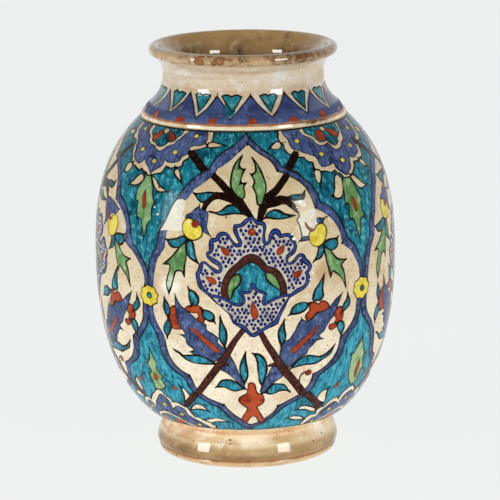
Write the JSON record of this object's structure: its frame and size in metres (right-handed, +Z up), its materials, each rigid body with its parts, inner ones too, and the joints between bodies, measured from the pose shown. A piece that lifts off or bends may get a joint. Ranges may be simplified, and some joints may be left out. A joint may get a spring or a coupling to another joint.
{
  "type": "ceramic vase",
  "caption": "Baluster-shaped painted and glazed ceramic vase: ovoid body on a spreading foot ring, beaded shoulder, waisted neck and rolled lip, holding stems or standing as decoration.",
  "frame": {"origin": "centre of the standing ring, on the surface that the vase stands on", "axes": "+Z up along the turning axis; -Y towards the viewer of the picture, +X to that viewer's right"},
  "size_m": [0.2186, 0.2186, 0.3],
  "materials": {
    "foot_glaze": "gloss clear glaze over stained cream slip",
    "body_glaze": "gloss clear glaze over painted turquoise, cobalt and cream",
    "bead_glaze": "gloss clear glaze over cream slip",
    "neck_glaze": "gloss clear glaze over cream slip",
    "lip_glaze": "gloss clear glaze, stained brown"
  },
  "bodies": {
    "root": {"foot_ring": "foot_glaze", "lower_body": "body_glaze", "upper_body": "body_glaze", "shoulder_bead": "bead_glaze", "neck": "neck_glaze", "lip_roll": "lip_glaze"}
  },
  "joints": []
}
